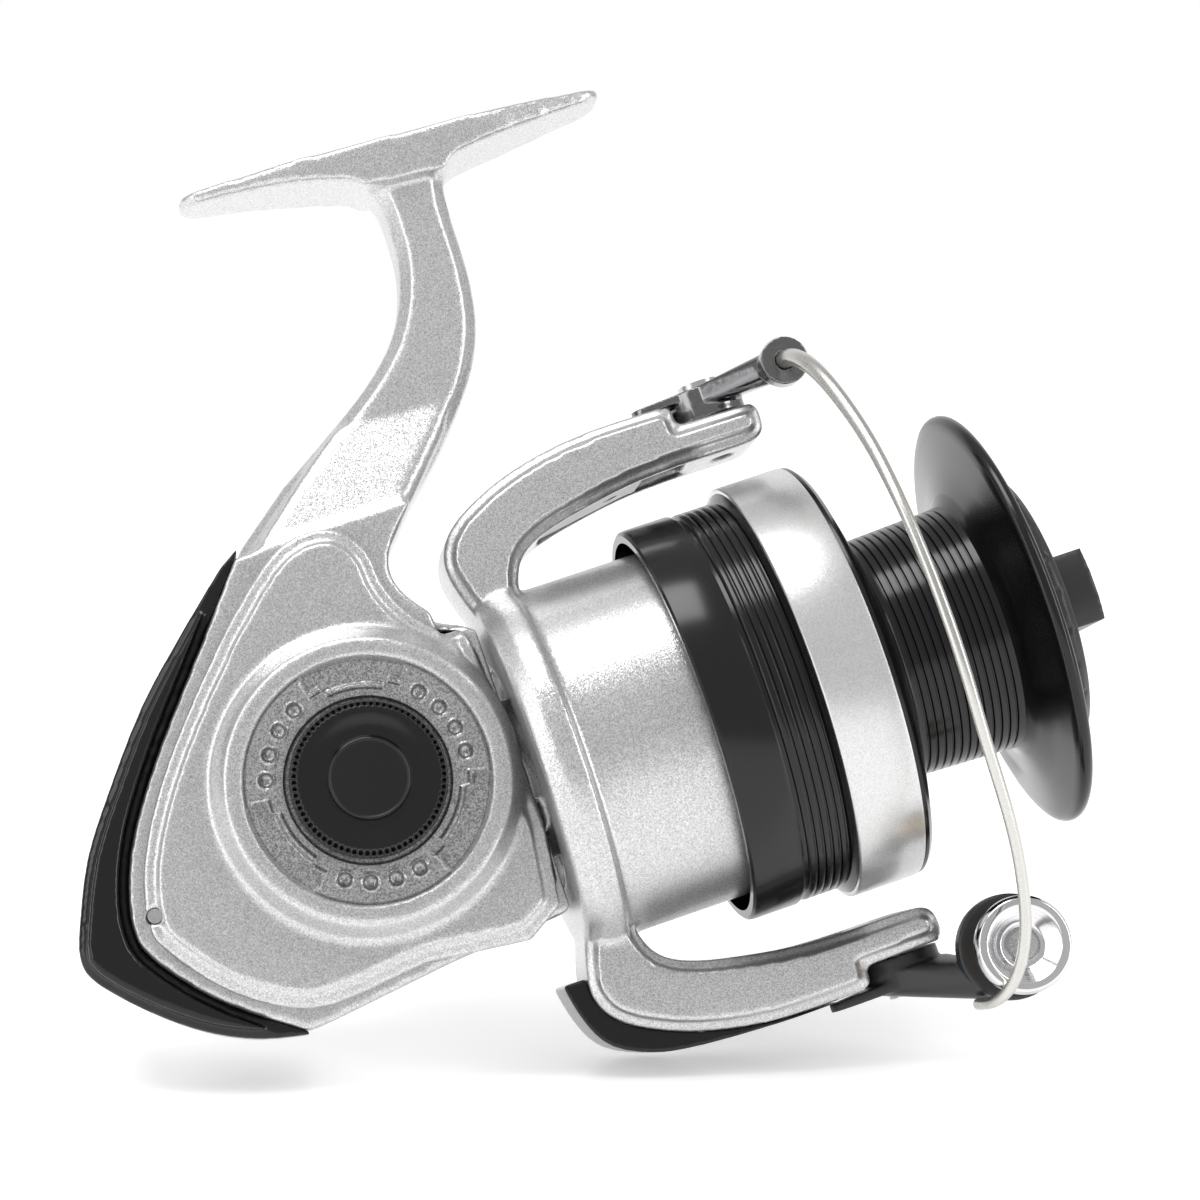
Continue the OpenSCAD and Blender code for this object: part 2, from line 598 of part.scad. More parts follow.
// Black cover on the outside of the lower arm
module arm_cover_outer() {
    band = [[15.8, -20.4], [16, -27], [17.4, -33.2], [19.8, -37], [24.4, -39.4], [29, -40.4], [36, -41], [44, -41.3], [50, -41.2]];
    color("#202022") difference() {
        span_y(-arm_half + 2, arm_half - 2)
            polygon(concat(open_curve(band), [[52, -40.8], [50, -39.6], [30, -37.2], [22, -33.2], [20.7, -27], [20.7, -23.8], [18, -20.4]]));
        rotate([180, 0, 0]) span_y(-arm_half + 1, arm_half - 1) offset(delta = 0.02) arm_profile();
        translate([10, -10, -27.5]) cube([10.6, 20, 10]);
    }
}
module arm_cover_inner() {
    color("#b4b4b8") for (s = [0, 180]) rotate([s, 0, 0]) difference() {
        intersection() {
            translate([33.1, -4.9, 26.1]) cube([21.8, 9.8, 6.6]);
            span_y(-6, 6) polygon([[33, 30.4], [39.5, 31.5], [46.5, 32.6], [53.3, 33], [55, 33], [55, 34], [33, 31.6]]);
        }
        translate([44, 0, 28]) cylinder(r = 1, h = 8);
    }
}
module bail_spring() {
    turns = 9;
    steps = 12;
    wire = 0.3;
    mean = 0.8;
    n = turns * steps;
    points = [for (i = [0:n]) let (a = 360 * i / steps) for (k = [0:5]) let (b = 60 * k)
        [37 + 14 * i / n + wire * sin(b), 2.6 + (mean + wire * cos(b)) * cos(a), -34.8 + (mean + wire * cos(b)) * sin(a)]];
    color("#b8b8bc") polyhedron(points = points, faces = concat(
        [[for (k = [0:5]) k]], [[for (k = [5:-1:0]) n * 6 + k]],
        [for (i = [0:n - 1]) for (k = [0:5]) each [
            [i * 6 + k, (i + 1) * 6 + k, i * 6 + (k + 1) % 6],
            [(i + 1) * 6 + k, (i + 1) * 6 + (k + 1) % 6, i * 6 + (k + 1) % 6]]]));
}
module trip_lever() {
    color("#c8c8cc") translate([0, -2.6, -34.8]) { rod_x(0.8, 34, 54.6); translate([33.4, -1.2, -0.8]) cube([1.6, 2.4, 1.6]); }
}
module balance_weight() {
    color("#a8a8ac") translate([37.25, 0, 0]) rotate([0, 90, 0]) difference() {
        rotate([0, 0, 60]) rotate_extrude(angle = 60, $fn = 96) translate([16.5, 0]) square([5.4, 4]);
        rotate([0, 0, 90]) translate([19, 0, -1]) cylinder(r = 0.9, h = 7);
    }
}
module pivot_screws() {
    color("#a0a0a4") for (s = [0, 180]) rotate([s, 0, 0]) translate([pivot_x, 0, 0]) difference() {
        union() {
            translate([0, 0, 33.4]) cylinder(r = 1.48, h = 9.4);
            translate([0, 0, 42.65]) cylinder(r = 2.8, h = 0.85);
        }
        for (a = [45, 135]) rotate([0, 0, a]) translate([-1.6, -0.3, 43.1]) cube([3.2, 0.6, 1]);
    }
}

// ---------------------------------------------------------------- bail

// Lever that carries the line roller at the end of the lower arm
module bail_arm() {
    color("#303033") difference() {
        union() {
            translate([pivot_x, 0, -42.4]) cylinder(r = 5.4, h = 4.2);
            hull() {
                translate([pivot_x, 0, -42.4]) cylinder(r = 5.4, h = 1.3, $fn = 32);
                translate([52, 0, -42.6]) cylinder(r = 2.4, h = 1.1, $fn = 32);
            }
            hull() {
                translate([pivot_x + 1, -1, -42.6]) cylinder(r = 5, h = 2.6, $fn = 32);
                translate([68.6, -8.8, -44.6]) sphere(r = 2.6, $fn = 32);
            }
            hull() {
                translate([68.6, -8.8, -44.6]) sphere(r = 2.6, $fn = 32);
                translate([roller[0] - 1, 0, roller[2] - 1]) rod_y(5, -11.4, -8, $fn = 32);
            }
            translate([roller[0], 0, roller[2]]) rod_y(7, -11.4, -8.6);
        }
        translate([pivot_x, 0, -50]) cylinder(r = 1.55, h = 20);
        translate([pivot_x, 0, -46]) cylinder(r = 3, h = 3.4);
        translate([roller[0], 0, roller[2]]) rod_y(1.5, -20, 0);
        translate([roller[0], 0, roller[2]]) rod_y(2.8, -9.6, -4);
        translate([66.8, 0, -47.4]) rod_y(1.1, -20, -9.6);
    }
}

// Lever at the end of the upper arm, ending in the eye that holds the wire
module bail_holder() {
    color("#6a6a6e") difference() {
        union() {
            translate([pivot_x, 0, 38.2]) cylinder(r = 5.2, h = 4.2);
            hull() {
                translate([pivot_x, 0, 41.2]) cylinder(r = 4.8, h = 1.3, $fn = 32);
                translate([52.6, 0, 41.4]) cylinder(r = 2, h = 1, $fn = 32);
            }
            hull() {
                translate([pivot_x + 0.6, -1, 40.2]) cylinder(r = 4.2, h = 2.2, $fn = 32);
                translate([eye[0] - 0.6, eye[1] + 4.6, eye[2] + 0.4]) sphere(r = 2.2, $fn = 32);
            }
            hull() {
                translate([eye[0] - 0.6, eye[1] + 4.6, eye[2] + 0.4]) sphere(r = 2.2, $fn = 32);
                translate([eye[0], 0, eye[2]]) rod_y(3.2, eye[1] - 0.6, eye[1] + 2.4, $fn = 32);
            }
        }
        translate([pivot_x, 0, 30]) cylinder(r = 1.55, h = 20);
        translate([pivot_x, 0, 42.5]) cylinder(r = 3, h = 3);
        translate([eye[0], 0, eye[2]]) rod_y(1.3, eye[1] - 2, eye[1] + 1.8);
    }
}

// Points of the wire's centre line, from the eye round the spool to the roller's lug
wire_route = concat(
    [[eye[0], eye[1] + 1.6, eye[2]], [eye[0], eye[1] - 2, eye[2]], [70.4, -21.8, 39.4], [71.4, -27.6, 35]],
    [for (a = [142:12:202]) [72.5, wire_loop_r * cos(a), wire_loop_r * sin(a)]],
    [[73.2, -35, -25.6], [73.3, -30, -33], [72.6, -26, -39.2], [71, -23.4, -43.6],
     [69, -20.8, -46.4], [67.3, -17.4, -47.4], [66.8, -13.6, -47.4], [66.8, -9.8, -47.4]]);

function unit(v) = v / norm(v);
module swept(route, r, sides) {
    n = len(route) - 1;
    points = [for (i = [0:n]) let (t = unit(route[min(i + 1, n)] - route[max(i - 1, 0)]),
        u = unit(cross(t, [1, 0.02, 0.01])), v = cross(t, u)) for (k = [0:sides - 1])
        route[i] + r * (u * cos(360 * k / sides) + v * sin(360 * k / sides))];
    polyhedron(points = points, faces = concat(
        [[for (k = [sides - 1:-1:0]) k]], [[for (k = [0:sides - 1]) n * sides + k]],
        [for (i = [0:n - 1]) for (k = [0:sides - 1]) each [
            [i * sides + k, i * sides + (k + 1) % sides, (i + 1) * sides + k],
            [(i + 1) * sides + k, i * sides + (k + 1) % sides, (i + 1) * sides + (k + 1) % sides]]]));
}
module bail_wire() { color("#c4c4c4") swept(open_curve(wire_route, 3), wire_d / 2, 10); }

module roller_cap() {
    color("#d4d4d6") translate([roller[0], 0, roller[2]])
        turned_y([[1.5, -17.6], [3, -17.6], [4.6, -19.6], [5.6, -19.8], [6.4, -19], [6.4, -17.4], [5.2, -16.8], [1.5, -16.8]]);
}
module roller_screw() {
    color("#c0c0c4") translate([roller[0], 0, roller[2]]) {
        rod_y(1.46, -17.7, -9.6);
        turned_y([[0, -18.7], [1.9, -18.5], [2.5, -17.7], [0, -17.7]]);
        rod_y(2.7, -9.5, -8.7);
    }
}
module roller_bush() { color("#e0dccc") translate([roller[0], 0, roller[2]]) tube_y(1.52, 2.3, -16.7, -11.5); }
module line_roller() {
    color("#c9a64c") translate([roller[0], 0, roller[2]])
        turned_y([[2.35, -16.5], [4.4, -16.5], [4.2, -15.8], [3.3, -14.6], [3.3, -13.4], [4.2, -12.2], [4.4, -11.7], [2.35, -11.7]]);
}

place() main_frame();
place() side_cover();
place() rear_cover();
place() ring_plate();
place() cover_screws();
place() drive_bearing_right();
place() drive_bearing_left();
place() pinion_bearing();
place() roller_clutch();
place() clutch_retainer();
place() guide_rod();
place() oscillation_post();
place() drive_gear();
place() oscillation_pinion();
place() handle_shank();
place() handle_arm();
place() knob_post();
place() handle_knob();
place() knob_cap();
place() handle_screw();
place() oscillation_gear();
place() main_shaft();
place() oscillation_slider();
place() slider_screw();
place() click_wheel();
place() shaft_clip();
place() spool_body();
place() spool_band();
place() line_clip();
place() drag_washers_felt();
place() drag_washers_metal();
place() drag_retaining_ring();
place() click_pawl();
place() drag_knob();
place() drag_nut();
place() drag_spring();
place() rotor();
place() pinion();
place() rotor_nut();
place() nut_lock();
place() arm_cover_outer();
place() arm_cover_inner();
place() bail_spring();
place() trip_lever();
place() balance_weight();
place() pivot_screws();
place() bail_arm();
place() bail_holder();
place() bail_wire();
place() roller_cap();
place() roller_screw();
place() roller_bush();
place() line_roller();
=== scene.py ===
"""Looks of a spinning reel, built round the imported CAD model. Lengths are in metres."""
import json
import math

import bpy
import numpy as np
from mathutils import Matrix, Vector


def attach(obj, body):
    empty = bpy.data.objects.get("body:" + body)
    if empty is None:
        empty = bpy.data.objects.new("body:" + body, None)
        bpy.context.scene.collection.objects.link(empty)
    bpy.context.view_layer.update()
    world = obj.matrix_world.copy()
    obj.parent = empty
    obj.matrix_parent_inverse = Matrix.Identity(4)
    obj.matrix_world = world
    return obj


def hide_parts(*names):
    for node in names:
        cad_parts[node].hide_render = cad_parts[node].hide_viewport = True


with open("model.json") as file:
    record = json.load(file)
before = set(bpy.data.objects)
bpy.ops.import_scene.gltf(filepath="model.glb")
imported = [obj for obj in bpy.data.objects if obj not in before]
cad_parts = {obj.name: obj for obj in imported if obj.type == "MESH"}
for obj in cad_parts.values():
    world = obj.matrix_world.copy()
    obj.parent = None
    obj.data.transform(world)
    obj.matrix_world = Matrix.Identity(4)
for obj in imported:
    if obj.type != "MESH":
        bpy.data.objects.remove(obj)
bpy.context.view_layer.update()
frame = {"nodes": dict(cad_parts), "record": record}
MM = 0.001
SEAT = Vector((31.0, 0.0, 87.2)) * MM  # the frame's origin, from the spool axis under the crank axis
DRIVE_Z = 5.5  # height of the crank axis above the spool axis, mm


def at(x, y, z):
    """A point given in mm from the spool axis, under the crank axis."""
    return Vector((x, y, z)) * MM - SEAT


# ------------------------------------------------------------------ materials


def principled(name, color, metallic=0.0, rough=0.5, **inputs):
    mat = bpy.data.materials.new(name)
    mat.use_nodes = True
    shader = mat.node_tree.nodes["Principled BSDF"]
    shader.inputs["Base Color"].default_value = (*color, 1)
    shader.inputs["Metallic"].default_value = metallic
    shader.inputs["Roughness"].default_value = rough
    for key, value in inputs.items():
        shader.inputs[key.replace("_", " ")].default_value = value
    return mat, mat.node_tree, shader


def link(tree, a, out, b, into):
    tree.links.new(a.outputs[out], b.inputs[into])


def texture(tree, kind, **settings):
    """A texture node in object space, with its scale in cells per metre."""
    node = tree.nodes.new(kind)
    coords = tree.nodes.new("ShaderNodeTexCoord")
    link(tree, coords, "Object", node, "Vector")
    for key, value in settings.items():
        node.inputs[key].default_value = value
    return node


def ramp(tree, source, out, stops):
    node = tree.nodes.new("ShaderNodeValToRGB")
    link(tree, source, out, node, "Fac")
    elements = node.color_ramp.elements
    while len(elements) < len(stops):
        elements.new(0.5)
    for element, (place, value) in zip(elements, stops):
        element.position = place
        element.color = (*value, 1) if isinstance(value, tuple) else (value, value, value, 1)
    return node


CLEAR_COAT = {"Coat_Weight": 0.35, "Coat_Roughness": 0.12}
DULL_BLACK = {"Specular_IOR_Level": 0.4}  # a black that mirrors the white room less


def flake_paint(name, dark, light, cell, tilt, rough, metallic=0.8):
    """Clear-coated metallic paint: each flake has its own brightness and its own tilt."""
    mat, tree, shader = principled(name, (light,) * 3, metallic, rough, **CLEAR_COAT)
    flakes = texture(tree, "ShaderNodeTexVoronoi", Scale=1 / cell)
    shade = ramp(tree, flakes, "Color", [(0.15, dark), (0.75, light)])
    link(tree, shade, "Color", shader, "Base Color")
    centred = tree.nodes.new("ShaderNodeVectorMath")
    centred.operation = "SUBTRACT"
    link(tree, flakes, "Color", centred, 0)
    centred.inputs[1].default_value = (0.5, 0.5, 0.5)
    tilted = tree.nodes.new("ShaderNodeVectorMath")
    tilted.operation = "MULTIPLY_ADD"
    link(tree, centred, 0, tilted, 0)
    tilted.inputs[1].default_value = (tilt, tilt, tilt)
    surface = tree.nodes.new("ShaderNodeNewGeometry")
    link(tree, surface, "Normal", tilted, 2)
    unit = tree.nodes.new("ShaderNodeVectorMath")
    unit.operation = "NORMALIZE"
    link(tree, tilted, 0, unit, 0)
    link(tree, unit, 0, shader, "Normal")
    return mat


def grained(name, color, metallic, rough, grain, depth, spread=0.06, **inputs):
    """A plain moulded or machined surface with fine grain and slightly uneven gloss."""
    mat, tree, shader = principled(name, color, metallic, rough, **inputs)
    noise = texture(tree, "ShaderNodeTexNoise", Scale=1 / grain, Detail=4.0)
    gloss = ramp(tree, noise, "Fac", [(0.3, max(rough - spread, 0.02)), (0.7, rough + spread)])
    link(tree, gloss, "Color", shader, "Roughness")
    tint = ramp(tree, noise, "Fac", [(0.3, tuple(c * 0.86 for c in color)), (0.7, color)])
    link(tree, tint, "Color", shader, "Base Color")
    bump = tree.nodes.new("ShaderNodeBump")
    bump.inputs["Strength"].default_value = 0.5
    bump.inputs["Distance"].default_value = depth
    link(tree, noise, "Fac", bump, "Height")
    link(tree, bump, "Normal", shader, "Normal")
    return mat


X_AXIS, Y_AXIS = 0, 1


def turned_metal(name, color, rough, axis, metallic=1.0, pitch=0.12 * MM, depth=0.01 * MM, **inputs):
    """Metal or plastic with the fine rings that a lathe leaves round the given axis."""
    mat, tree, shader = principled(name, color, metallic, rough, **inputs)
    stretch = tree.nodes.new("ShaderNodeMapping")
    coords = tree.nodes.new("ShaderNodeTexCoord")
    link(tree, coords, "Object", stretch, "Vector")
    stretch.inputs["Scale"].default_value = [1 / pitch if k == axis else 40.0 for k in range(3)]
    noise = tree.nodes.new("ShaderNodeTexNoise")
    noise.inputs["Scale"].default_value = 1.0
    link(tree, stretch, "Vector", noise, "Vector")
    tint = ramp(tree, noise, "Fac", [(0.3, tuple(c * 0.8 for c in color)), (0.7, color)])
    link(tree, tint, "Color", shader, "Base Color")
    bump = tree.nodes.new("ShaderNodeBump")
    bump.inputs["Distance"].default_value = depth
    link(tree, noise, "Fac", bump, "Height")
    link(tree, bump, "Normal", shader, "Normal")
    return mat


# Name, darkest and lightest flake, flake size, flake tilt, roughness and, where given, metallic.
SILVER = flake_paint("flake_silver", 0.36, 0.7, 0.12 * MM, 0.17, 0.33)
RING_SILVER = flake_paint("coarse_flake", 0.17, 0.5, 0.17 * MM, 0.24, 0.34)
BAND = flake_paint("band_silver", 0.5, 0.72, 0.08 * MM, 0.08, 0.3)
CRANK_PAINT = flake_paint("crank_black", 0.008, 0.03, 0.1 * MM, 0.1, 0.35, 0.4)

# Name, colour, metallic, roughness, grain size, grain depth and, where given, the gloss's spread.
GLOSS_BLACK = grained("gloss_black", (0.004, 0.004, 0.0045), 0.0, 0.17, 0.5 * MM, 0.004 * MM, 0.04,
                      **DULL_BLACK)
DARK_GREY = grained("dark_grey", (0.018, 0.018, 0.02), 0.0, 0.38, 0.2 * MM, 0.02 * MM)
RUBBER = grained("soft_black", (0.012, 0.012, 0.012), 0.0, 0.55, 0.25 * MM, 0.03 * MM)
STEEL = grained("steel", (0.6, 0.6, 0.61), 1.0, 0.26, 0.2 * MM, 0.005 * MM)
WIRE = grained("wire_steel", (0.62, 0.61, 0.58), 1.0, 0.3, 0.15 * MM, 0.008 * MM)
DARK_CHROME = grained("dark_chrome", (0.2, 0.2, 0.205), 1.0, 0.16, 0.6 * MM, 0.01 * MM)
BRASS = grained("brass", (0.72, 0.52, 0.25), 1.0, 0.28, 0.2 * MM, 0.006 * MM)
BRONZE = grained("bronze", (0.42, 0.31, 0.2), 1.0, 0.42, 0.15 * MM, 0.02 * MM)
ALLOY = grained("cast_alloy", (0.55, 0.55, 0.56), 1.0, 0.42, 0.2 * MM, 0.02 * MM)
GEAR_ALLOY = grained("gear_alloy", (0.6, 0.56, 0.46), 1.0, 0.34, 0.2 * MM, 0.01 * MM)
WHITE_PLASTIC = grained("white_plastic", (0.72, 0.7, 0.64), 0.0, 0.42, 0.3 * MM, 0.01 * MM,
                        Subsurface_Weight=0.05)
FELT = grained("felt", (0.3, 0.25, 0.19), 0.0, 0.9, 0.12 * MM, 0.15 * MM, Sheen_Weight=0.4)

# Name, colour, roughness, lathe axis, metallic, ring pitch, ring depth.
SPOOL_BLACK = turned_metal("spool_black", (0.005, 0.005, 0.0055), 0.19, X_AXIS, 0.0, 0.3 * MM, 0.002 * MM,
                           **DULL_BLACK)
POLISHED = turned_metal("polished_cap", (0.75, 0.75, 0.76), 0.12, Y_AXIS)
CAP_DISC = turned_metal("cap_disc", (0.02, 0.02, 0.021), 0.3, Y_AXIS, 0.6)

FINISH = {
    "flake_silver": SILVER, "gloss_black": GLOSS_BLACK, "ring_silver": RING_SILVER, "bright_band": BAND,
    "steel": STEEL, "bronze": BRONZE, "gear_alloy": GEAR_ALLOY, "brass": BRASS, "felt": FELT,
    "slider_alloy": ALLOY, "crank_black": CRANK_PAINT, "knob_rubber": RUBBER, "dark_plastic": DARK_GREY,
    "dark_chrome": DARK_CHROME, "wire_steel": WIRE, "polished": POLISHED, "white_plastic": WHITE_PLASTIC,
}
NODE_SLOT = {s["node"]: s["material_slot"] for s in frame["record"]["subparts"]}

# ------------------------------------------------------------------ mesh tools


def mesh_piece(name, points, faces, material, body, *nodes, smooth_deg=35):
    """A new piece that rides on a body and stands for CAD nodes."""
    mesh = bpy.data.meshes.new(name)
    mesh.from_pydata([tuple(p) for p in points], [], faces)
    mesh.validate()
    piece = bpy.data.objects.new(name, mesh)
    bpy.context.scene.collection.objects.link(piece)
    mesh.materials.append(material)
    mesh.shade_smooth()
    mesh.set_sharp_from_angle(angle=math.radians(smooth_deg))
    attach(piece, body)
    if nodes:
        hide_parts(*nodes)
    return piece


def ring_faces(rings, around, closed=True):
    """Four-sided faces between rings of points, from the last ring back to the first if it is closed."""
    faces = []
    last = rings if closed else rings - 1
    for i in range(last):
        for k in range(around):
            a, b = i * around, (i + 1) % rings * around
            faces.append((a + k, a + (k + 1) % around, b + (k + 1) % around, b + k))
    return faces


def lathe(profile, axis, centre, around):
    """Points and faces of a closed profile of (radius, station) in mm, turned round X or Y."""
    points = []
    for radius, station in profile:
        for k in range(around):
            a = math.tau * k / around
            c, s = radius * math.cos(a), radius * math.sin(a)
            points.append(centre + Vector((station, c, s) if axis == "x" else (s, station, c)) * MM)
    return points, ring_faces(len(profile), around)


def rounded(profile, radius, steps=3):
    """The closed profile with each corner cut to a small arc."""
    out = []
    count = len(profile)
    for i, here in enumerate(profile):
        p, a, b = (Vector(v) for v in (here, profile[i - 1], profile[(i + 1) % count]))
        r = min(radius, (a - p).length * 0.4, (b - p).length * 0.4)
        start, end = p + (a - p).normalized() * r, p + (b - p).normalized() * r
        for k in range(steps + 1):
            t = k / steps
            out.append(tuple(start * (1 - t) ** 2 + p * 2 * t * (1 - t) + end * t ** 2))
    return out


def smooth_path(points, per_span):
    """Points along a smooth curve through the given ones."""
    pts = [Vector(p) for p in points]
    ext = [pts[0] * 2 - pts[1]] + pts + [pts[-1] * 2 - pts[-2]]
    out = []
    for i in range(len(pts) - 1):
        a, b, c, d = ext[i:i + 4]
        for k in range(per_span):
            t = k / per_span
            square, cube = 2 * a - 5 * b + 4 * c - d, 3 * b - a - 3 * c + d
            out.append(0.5 * (2 * b + (c - a) * t + square * t * t + cube * t ** 3))
    return out + [pts[-1]]


def tube(route, radii, around=24):
    """Points and faces of a round bar along a route, with flat ends."""
    points = []
    side = Vector((1, 0.02, 0.01))
    for i, here in enumerate(route):
        along = (route[min(i + 1, len(route) - 1)] - route[max(i - 1, 0)]).normalized()
        side = (side - along * side.dot(along)).normalized()
        other = along.cross(side)
        for k in range(around):
            a = math.tau * k / around
            points.append(here + radii[i] * (side * math.cos(a) + other * math.sin(a)))
    count = len(route)
    faces = ring_faces(count, around, False)
    faces.append(tuple(reversed(range(around))))
    faces.append(tuple((count - 1) * around + k for k in range(around)))
    return points, faces


def soften(node, voxel, passes):
    """Rounds the edges of a CAD node the way casting, polishing and paint do."""
    piece = frame["nodes"][node]
    weld = piece.modifiers.new("join", "WELD")
    weld.merge_threshold = 0.001 * MM
    remesh = piece.modifiers.new("skin", "REMESH")
    remesh.mode = "VOXEL"
    remesh.voxel_size = voxel * MM
    remesh.use_smooth_shade = True
    smooth = piece.modifiers.new("round", "SMOOTH")
    smooth.factor = 0.5
    smooth.iterations = passes


# ------------------------------------------------------------------ CAD pieces

for node, piece in frame["nodes"].items():
    piece.data.materials.clear()
    piece.data.materials.append(FINISH[NODE_SLOT[node]])

# Voxel in mm and smoothing passes: more of both for a thickly painted casting than for a small part.
SOFTENED = {
    "main_frame": (0.5, 14), "side_cover": (0.4, 12), "rear_cover": (0.45, 6), "rotor": (0.45, 10),
    "arm_cover_outer": (0.3, 5), "bail_arm": (0.22, 5), "bail_holder": (0.2, 5), "handle_arm": (0.4, 6),
    "handle_shank": (0.3, 4), "handle_knob": (0.4, 6), "drag_knob": (0.3, 3),
}
for node, (voxel, passes) in SOFTENED.items():
    soften(node, voxel, passes)

# ------------------------------------------------------------------ spool

LIP_R, ARBOR_R = 28.9, 16.6
BAND_BACK, BAND_FRONT = 57.3, 66.4
RIBS, RIB_START, RIB_PITCH = 5, 51.1, 1.1  # round the skirt, behind the band
GROOVES, GROOVE_START, GROOVE_PITCH, GROOVE_RISE = 12, 71.9, 1.13, 0.045  # round the arbor
SPOOL_AROUND = 320


def spool_profile():
    """The spool's closed outline as (radius, station): skirt, band seat, arbor, lip, then the inside."""
    skirt = [(25.9, 43), (26.9, 43), (27.3, 43.3), (27.4, 43.8), (27.4, 49.7), (27.2, 50.2), (26.8, 50.3),
             (26.8, 50.8)]
    for i in range(RIBS):
        s = RIB_START + i * RIB_PITCH
        skirt += [(27.15, s), (27.2, s + 0.1), (27.2, s + 0.65), (27.15, s + 0.75), (26.85, s + 0.85),
                  (26.85, s + 1.0)]
    front = [(27.3, 56.7), (28.2, BAND_BACK - 0.05), (28.2, BAND_FRONT + 0.02), (28.75, BAND_FRONT + 0.05),
             (28.8, 66.6), (28.75, 67), (28.1, 67.6)]
    shoulder = [(24, 68.9), (20, 70.1), (17.6, 70.6), (16.8, 70.9), (ARBOR_R, 71.3)]
    arbor = []
    for i in range(GROOVES):
        s = GROOVE_START + i * GROOVE_PITCH
        r = ARBOR_R + GROOVE_RISE * i
        arbor += [(r, s), (r - 0.06, s + 0.06), (r - 0.34, s + 0.12), (r - 0.34, s + 0.3),
                  (r - 0.06, s + 0.36), (r, s + 0.42)]
    flange = [(17.2, 85.6), (17.7, 86.1), (19, 86.7), (23, 87.6), (27, 88.2), (28.2, 88.4), (28.7, 88.7),
              (LIP_R, 89.1), (LIP_R, 89.5), (28.75, 89.9), (28.4, 90.2), (27.8, 90.4), (20.8, 90.8),
              (20.2, 90.6), (19.9, 90), (19.6, 87)]
    inside = [(13, 86.4), (12.4, 85.8), (12.4, 78.6), (2.05, 78.6), (2.05, 70.4), (6.5, 70.4), (6.5, 76.4),
              (14.4, 76.4), (14.4, 68.6), (17.5, 68.6), (25.2, 66.2), (25.6, 60)]
    return skirt + front + shoulder + arbor + flange + inside


mesh_piece("spool_turned", *lathe(spool_profile(), "x", at(0, 0, 0), SPOOL_AROUND),
           SPOOL_BLACK, "spool", "spool_body")
band = [(28.22, BAND_BACK), (28.7, BAND_BACK), (28.86, BAND_BACK + 0.15), (28.9, BAND_BACK + 0.4),
        (28.9, BAND_FRONT - 0.3), (28.8, BAND_FRONT), (28.22, BAND_FRONT)]
mesh_piece("band_turned", *lathe(band, "x", at(0, 0, 0), SPOOL_AROUND), BAND, "spool", "spool_band")

# ------------------------------------------------------------------ crank side ring and screw cap

RING_FACE = 17.4  # distance of the ring plate's face from the middle plane
RING_R, RING_HOLE = 15.8, 7.1
SUNK_AT, SUNK_R, SUNK_DEPTH = (80, 200, 320), 12.5, 0.75  # middles in degrees, inner radius, depth
DIMPLES_AT, DIMPLE_STEP = (140, 260, 20), 14.5  # middles of the groups and spacing in a group, degrees
DIMPLE_CIRCLE, DIMPLE_R, DIMPLE_DEPTH = 13.0, 0.95, 0.75


def smoothstep(low, high, x):
    t = np.clip((x - low) / (high - low), 0, 1)
    return t * t * (3 - 2 * t)


def polar_field(radii, height, base, centre, around=720):
    """Points and faces of a disc or ring seen from -Y, its face height(r, angle) mm out from the centre."""
    angles = np.arange(around) * math.tau / around
    points = []
    for r in radii:
        out = height(np.full(around, float(r)), angles)
        points += [centre + Vector((r * math.cos(a), -h, r * math.sin(a))) * MM for a, h in zip(angles, out)]
    for r in (radii[-1], radii[0]):
        points += [centre + Vector((r * math.cos(a), -base, r * math.sin(a))) * MM for a in angles]
    return points, [tuple(reversed(f)) for f in ring_faces(len(radii) + 2, around)]


def ring_height(r, angle):
    """Three sunk outer segments with sloping walls and, between them, three groups of four round dimples."""
    height = np.full_like(r, RING_FACE)
    degrees = np.degrees(angle)
    for middle in SUNK_AT:
        off = np.abs((degrees - middle + 180) % 360 - 180)
        inner = SUNK_R + smoothstep(17, 20, off)
        across = smoothstep(inner - 0.25, inner + 0.25, r) * (1 - smoothstep(24.5, 26, off))
        height -= SUNK_DEPTH * across
        rim = smoothstep(inner - 0.9, inner - 0.45, r) * (1 - smoothstep(26.8, 28.2, off))
        height += 0.28 * rim * (1 - across) * (1 - smoothstep(14.9, 15.2, r))
    for middle in DIMPLES_AT:
        for step in (-1.5, -0.5, 0.5, 1.5):
            a = math.radians(middle + step * DIMPLE_STEP)
            x, z = DIMPLE_CIRCLE * math.cos(a), DIMPLE_CIRCLE * math.sin(a)
            away = np.hypot(r * np.cos(angle) - x, r * np.sin(angle) - z)
            height -= DIMPLE_DEPTH * np.sqrt(np.clip(1 - (away / DIMPLE_R) ** 2, 0, 1))
            height += 0.12 * np.exp(-((away - 1.1) / 0.14) ** 2)
    height -= 0.5 * smoothstep(RING_R - 0.35, RING_R, r)
    height -= 0.9 * (1 - smoothstep(10.6, 10.9, r))
    return height


ring_radii = [RING_HOLE, 9.0] + list(np.linspace(10.4, RING_R, 46))
mesh_piece("ring_plate_cast", *polar_field(ring_radii, ring_height, RING_FACE - 1.15, at(0, 0, DRIVE_Z)),
           RING_SILVER, "frame", "ring_plate")


CAP_RISE = 3.85  # from the ring plate's face to the cap's disc
CAP_R, CAP_DISC_R, KNURLS = 10.15, 5.15, 72


